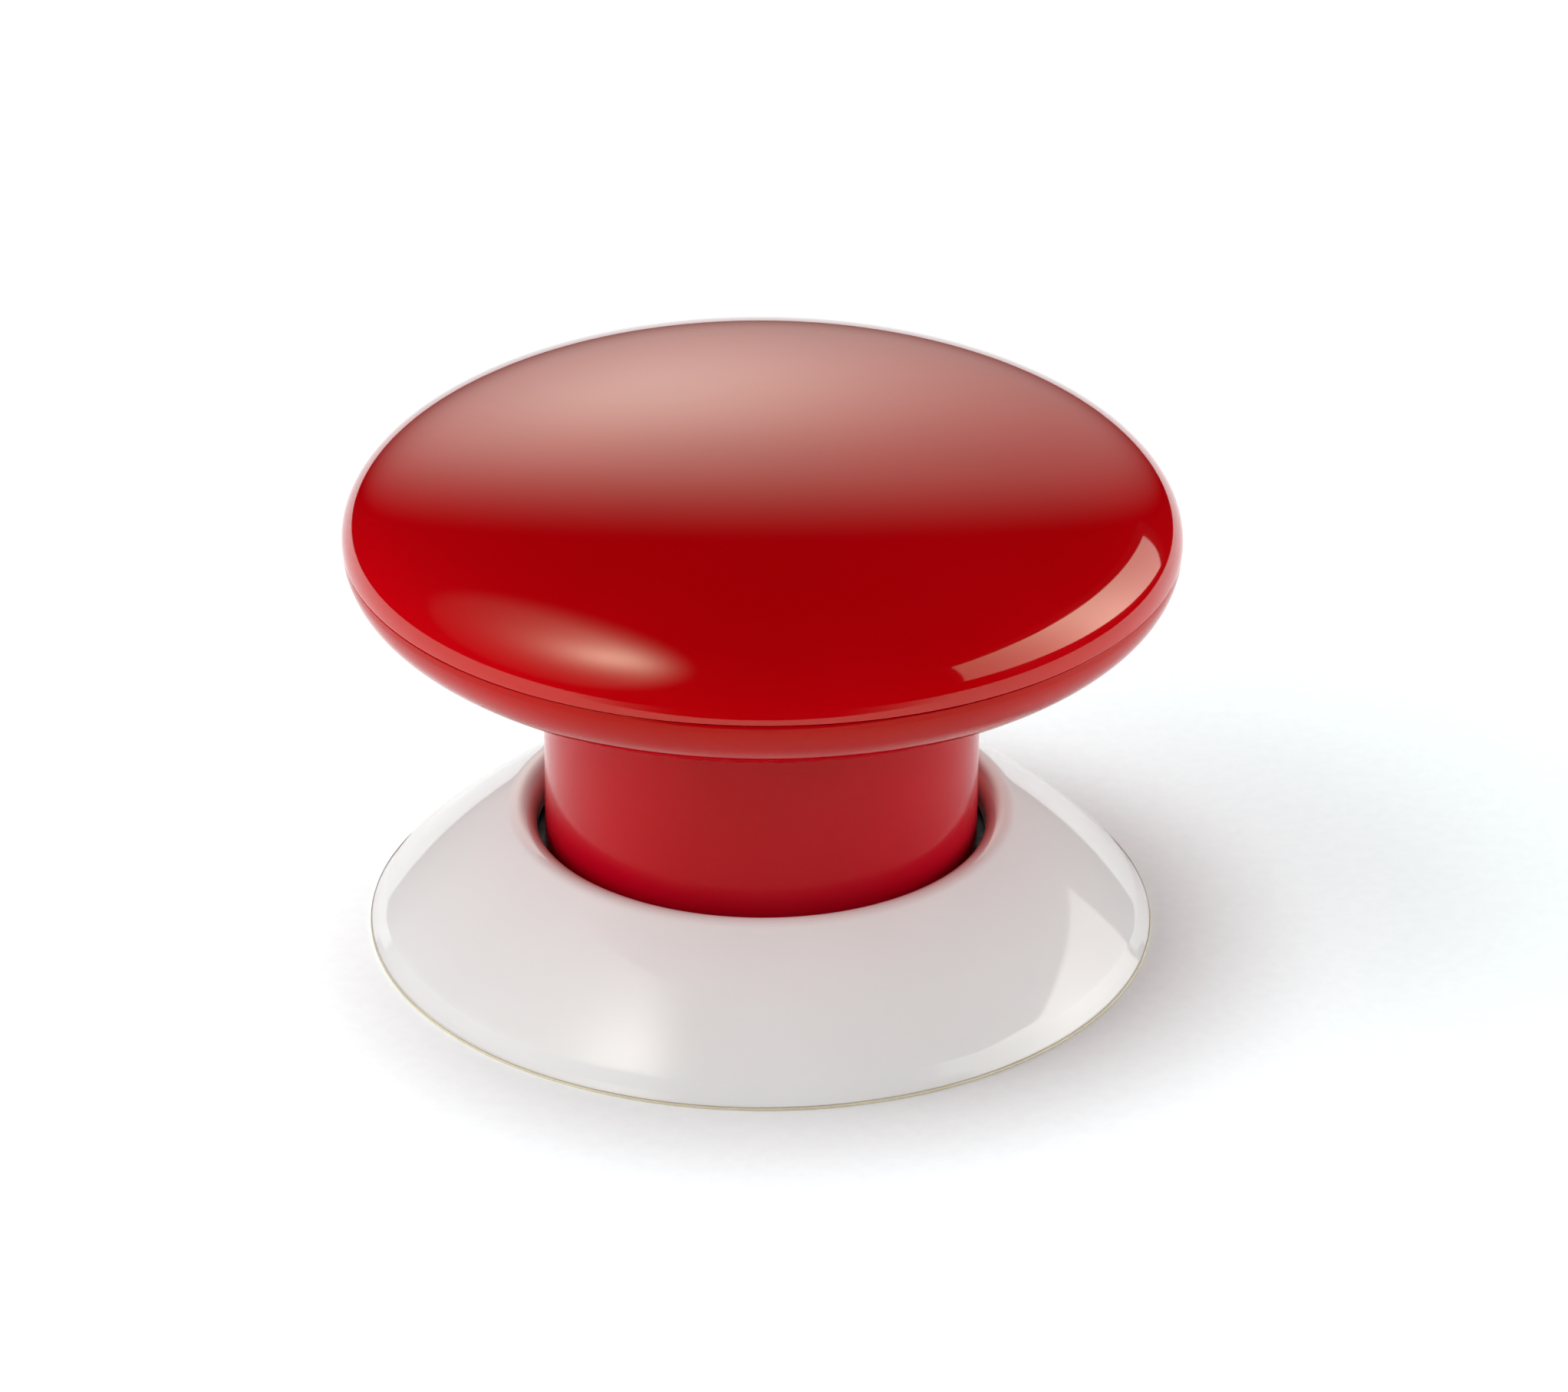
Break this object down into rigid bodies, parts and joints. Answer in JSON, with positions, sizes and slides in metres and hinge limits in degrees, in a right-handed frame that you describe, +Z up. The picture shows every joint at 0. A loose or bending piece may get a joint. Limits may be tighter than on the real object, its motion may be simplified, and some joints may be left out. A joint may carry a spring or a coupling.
{
  "type": "mushroom push button buzzer",
  "caption": "Cordless buzzer: a lens-shaped push cap on a sprung stem that slides in a conical base with an adhesive pad, coin cell and switch inside.",
  "frame": {"origin": "centre of the adhesive pad's underside, on the axis of the stem", "axes": "+Z up along the stem and the press; the coin cell lies towards -X on the circuit board, the radio parts towards +X"},
  "size_m": [0.046, 0.046, 0.0316],
  "materials": {
    "cap_plastic": "high gloss",
    "stem_plastic": "satin gloss",
    "base_plastic": "high gloss",
    "foam_tape": "matte foam tape with a paper-coloured edge",
    "inner_plastic": "fine spark texture",
    "plunger_plastic": "smooth",
    "black_rubber": "matte",
    "spring_steel": "drawn wire",
    "black_steel": "black-oxide spring steel",
    "screw_steel": "zinc plated",
    "cell_steel": "nickel plated, lightly brushed",
    "contact_brass": "stamped",
    "antenna_copper": "enamelled copper wire",
    "circuit_board": "satin solder mask",
    "chip_epoxy": "moulded epoxy",
    "capacitor_epoxy": "moulded epoxy",
    "lamp_epoxy": "clear moulded epoxy"
  },
  "bodies": {
    "base": {"adhesive_pad": "foam_tape", "base_flange": "base_plastic", "base_plate": "inner_plastic", "stop_buffer": "black_rubber", "return_spring": "spring_steel", "base_screw_1": "screw_steel", "base_screw_2": "screw_steel", "base_screw_3": "screw_steel"},
    "button": {"stem_tube": "stem_plastic", "retaining_ring": "black_steel", "cap_lower_shell": "cap_plastic", "seal_ring": "black_rubber", "main_board": "circuit_board", "switch_body": "inner_plastic", "battery_holder": "inner_plastic", "coin_cell": "cell_steel", "battery_contact": "contact_brass", "battery_clip": "cell_steel", "sounder": "inner_plastic", "antenna_coil": "antenna_copper", "board_screw_1": "screw_steel", "board_screw_2": "screw_steel", "board_screw_3": "screw_steel", "radio_module": "cell_steel", "control_chip": "chip_epoxy", "crystal": "cell_steel", "capacitor": "capacitor_epoxy", "status_lamp_1": "lamp_epoxy", "status_lamp_2": "lamp_epoxy"},
    "cap": {"cap_upper_shell": "cap_plastic"},
    "plunger": {"switch_plunger": "plunger_plastic"}
  },
  "joints": [
    {"name": "cap_press", "type": "slide", "parent": "base", "child": "button", "axis": [0, 0, -1], "range_m": [0, 0.0012], "stiffness_N_per_m": 1200, "springref_m": -0.001, "deforming": ["return_spring"]},
    {"name": "cap_twist", "type": "hinge", "parent": "button", "child": "cap", "pos_m": [0, 0, 0.0239], "axis": [0, 0, 1], "range_deg": [0, 20]},
    {"name": "switch_travel", "type": "slide", "parent": "button", "child": "plunger", "axis": [0, 0, 1], "range_m": [0, 0.0012]}
  ],
  "couplings": [
    {"joint": "switch_travel", "follows": "cap_press", "ratio": 1}
  ]
}
